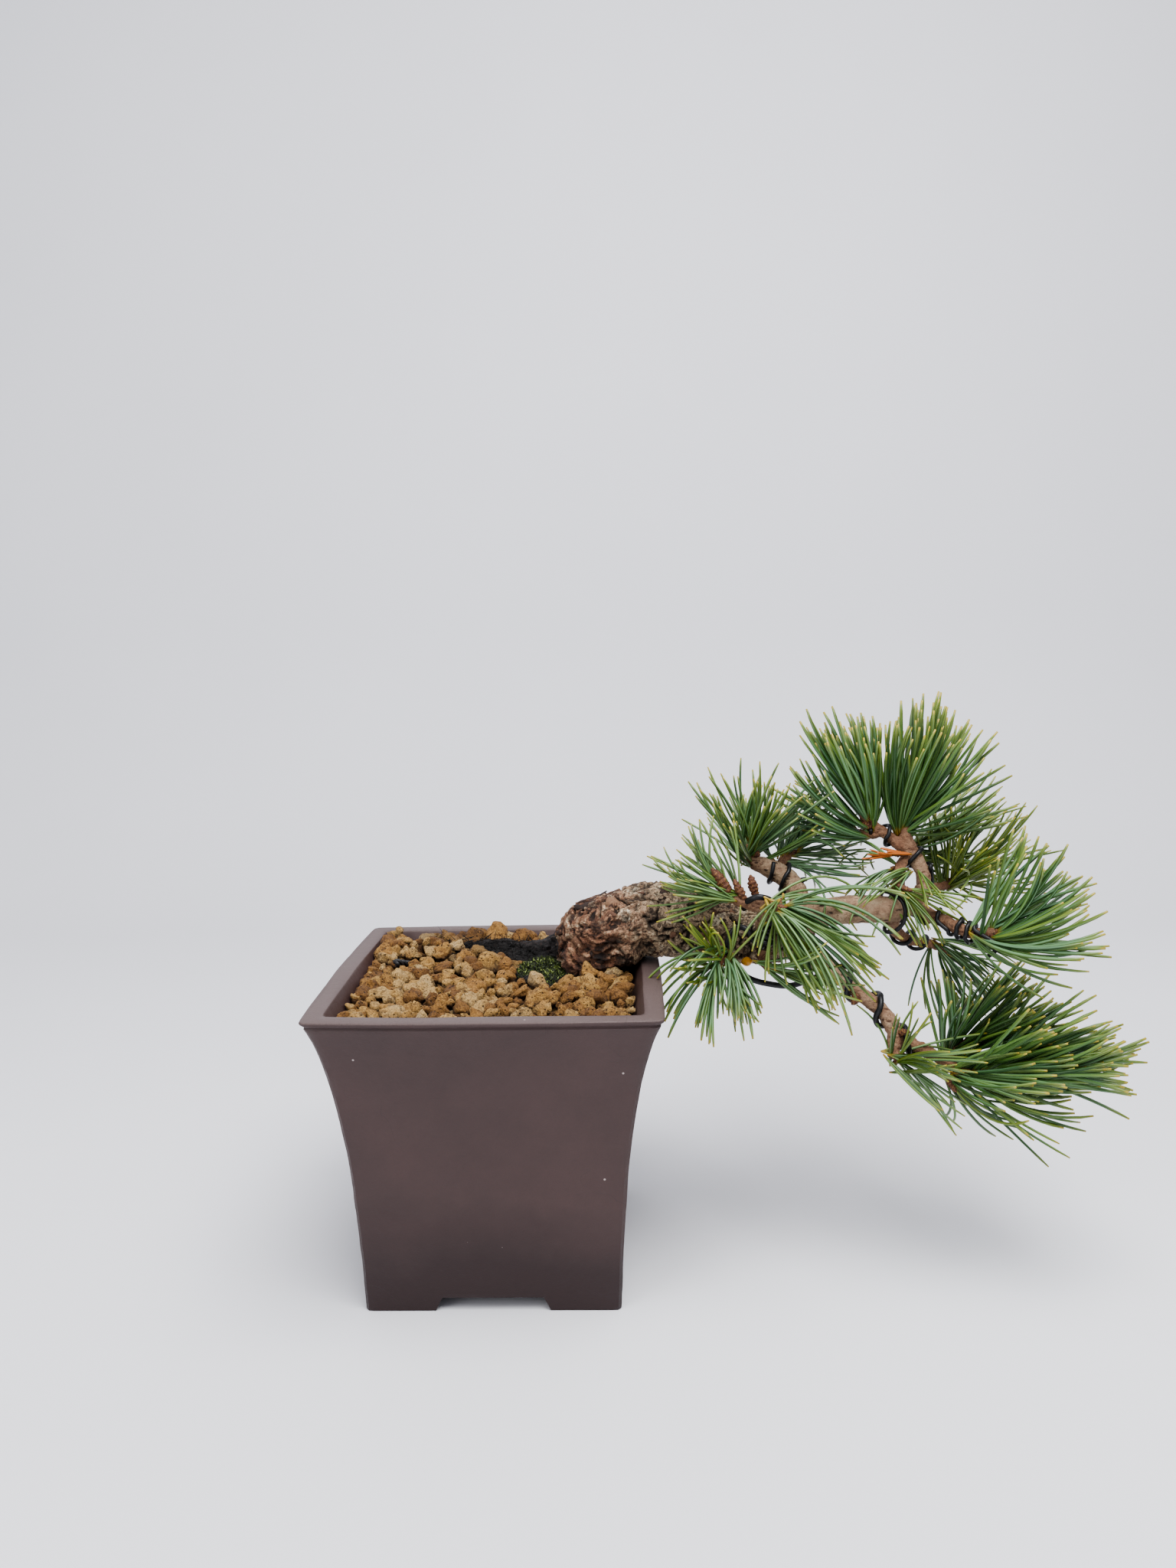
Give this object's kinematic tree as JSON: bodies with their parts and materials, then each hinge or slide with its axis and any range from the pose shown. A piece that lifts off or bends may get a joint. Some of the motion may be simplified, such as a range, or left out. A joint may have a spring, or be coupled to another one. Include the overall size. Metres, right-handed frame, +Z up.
{
  "type": "potted bonsai pine tree",
  "caption": "Small white pine bonsai leaning far out over the rim of a tall square flared clay pot, with wired branches, needle tufts and stone-dressed soil.",
  "frame": {"origin": "middle of the bottom of the bounding box; the pot's feet stand on z = 0", "axes": "+Z up, +X towards the side that the tree leans out to, -Y towards the front"},
  "size_m": [0.2848, 0.1198, 0.2033],
  "materials": {
    "clay": "satin",
    "netting": "matte",
    "soil": "matte",
    "root_soil": "matte",
    "stone": "matte",
    "moss": "matte",
    "bark": "matte",
    "wire": "satin",
    "needles": "satin"
  },
  "bodies": {
    "root": {"pot": "clay", "drain_mesh": "netting", "tie_wire": "wire", "soil": "soil", "root_ball": "root_soil", "stone_dressing": "stone", "moss": "moss", "tree": "bark", "wire_lower_branch": "wire", "wire_right_branch": "wire", "wire_crown": "wire", "wire_left_branch": "wire", "needles_crown_left": "needles", "needles_crown_far_left": "needles", "needles_crown_top": "needles", "needles_crown_back": "needles", "needles_crown_right": "needles", "needles_crown_inner": "needles", "needles_fork_front": "needles", "needles_right_branch": "needles", "needles_under_right": "needles", "needles_left_top": "needles", "needles_left_front": "needles", "needles_left_back": "needles", "needles_spur_front": "needles", "needles_spur_low": "needles", "needles_spur_right": "needles", "needles_low_tip": "needles", "needles_low_upper": "needles", "needles_low_hanging": "needles", "needles_low_stub": "needles"}
  },
  "joints": []
}
